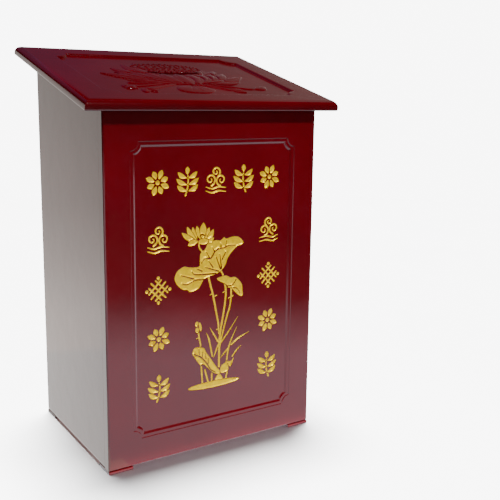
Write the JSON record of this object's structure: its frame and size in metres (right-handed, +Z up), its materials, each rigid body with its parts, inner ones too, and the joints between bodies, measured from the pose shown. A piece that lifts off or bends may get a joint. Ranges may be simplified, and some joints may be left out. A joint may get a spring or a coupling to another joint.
{
  "type": "donation box",
  "caption": "Floor or table standing donation box with a lectern-shaped sloping lid, a money slot in the lid and a hinged back door with a cam lock and key.",
  "frame": {"origin": "on the floor, under the middle of the whole box's width and depth", "axes": "+Z up, -Y towards the front with the sunk field, +X towards the right side as seen from the front"},
  "size_m": [0.41, 0.3088, 0.6027],
  "materials": {
    "red_lacquer": "high-gloss deep red lacquer",
    "bare_wood": "plain sawn softwood, unfinished",
    "hinge_brass": "satin brass plate",
    "lock_chrome": "bright chrome plate",
    "fitting_steel": "zinc-plated steel"
  },
  "bodies": {
    "case": {"back_panel": "red_lacquer", "bottom_board": "bare_wood", "bottom_cleat_left": "bare_wood", "bottom_cleat_right": "bare_wood", "corner_post_back_left": "bare_wood", "corner_post_back_right": "bare_wood", "corner_post_front_left": "bare_wood", "corner_post_front_right": "bare_wood", "door_stop_bottom": "bare_wood", "door_stop_top": "bare_wood", "foot_back_left": "red_lacquer", "foot_back_right": "red_lacquer", "foot_front_left": "red_lacquer", "foot_front_right": "red_lacquer", "foot_screw_back_left": "fitting_steel", "foot_screw_back_right": "fitting_steel", "foot_screw_front_left": "fitting_steel", "foot_screw_front_right": "fitting_steel", "front_panel": "red_lacquer", "hinge_lower_case_leaf": "hinge_brass", "hinge_lower_case_screw_1": "hinge_brass", "hinge_lower_case_screw_2": "hinge_brass", "hinge_lower_pin": "hinge_brass", "hinge_upper_case_leaf": "hinge_brass", "hinge_upper_case_screw_1": "hinge_brass", "hinge_upper_case_screw_2": "hinge_brass", "hinge_upper_pin": "hinge_brass", "left_side_panel": "red_lacquer", "lid": "red_lacquer", "lid_cleat_left": "bare_wood", "lid_cleat_right": "bare_wood", "lid_screw_left_1": "fitting_steel", "lid_screw_left_2": "fitting_steel", "lid_screw_right_1": "fitting_steel", "lid_screw_right_2": "fitting_steel", "right_side_panel": "red_lacquer", "strike_plate": "fitting_steel", "strike_screw_1": "fitting_steel", "strike_screw_2": "fitting_steel"},
    "door": {"back_door": "red_lacquer", "hinge_lower_door_leaf": "hinge_brass", "hinge_lower_door_screw_1": "hinge_brass", "hinge_lower_door_screw_2": "hinge_brass", "hinge_upper_door_leaf": "hinge_brass", "hinge_upper_door_screw_1": "hinge_brass", "hinge_upper_door_screw_2": "hinge_brass", "lock_body": "lock_chrome", "lock_nut": "fitting_steel"},
    "lock_barrel": {"lock_plug": "lock_chrome", "lock_cam": "fitting_steel", "lock_cam_screw": "fitting_steel"},
    "key": {"key": "lock_chrome"}
  },
  "joints": [
    {"name": "door_hinge", "type": "hinge", "parent": "case", "child": "door", "pos_m": [0.10925, 0.13173, 0.215], "axis": [0, 0, -1], "range_deg": [0, 170]},
    {"name": "lock_turn", "type": "hinge", "parent": "door", "child": "lock_barrel", "pos_m": [-0.0835, 0.12843, 0.215], "axis": [0, 1, 0], "range_deg": [0, 90]},
    {"name": "key_pull", "type": "slide", "parent": "lock_barrel", "child": "key", "axis": [0, 1, 0], "range_m": [0, 0.03]}
  ]
}
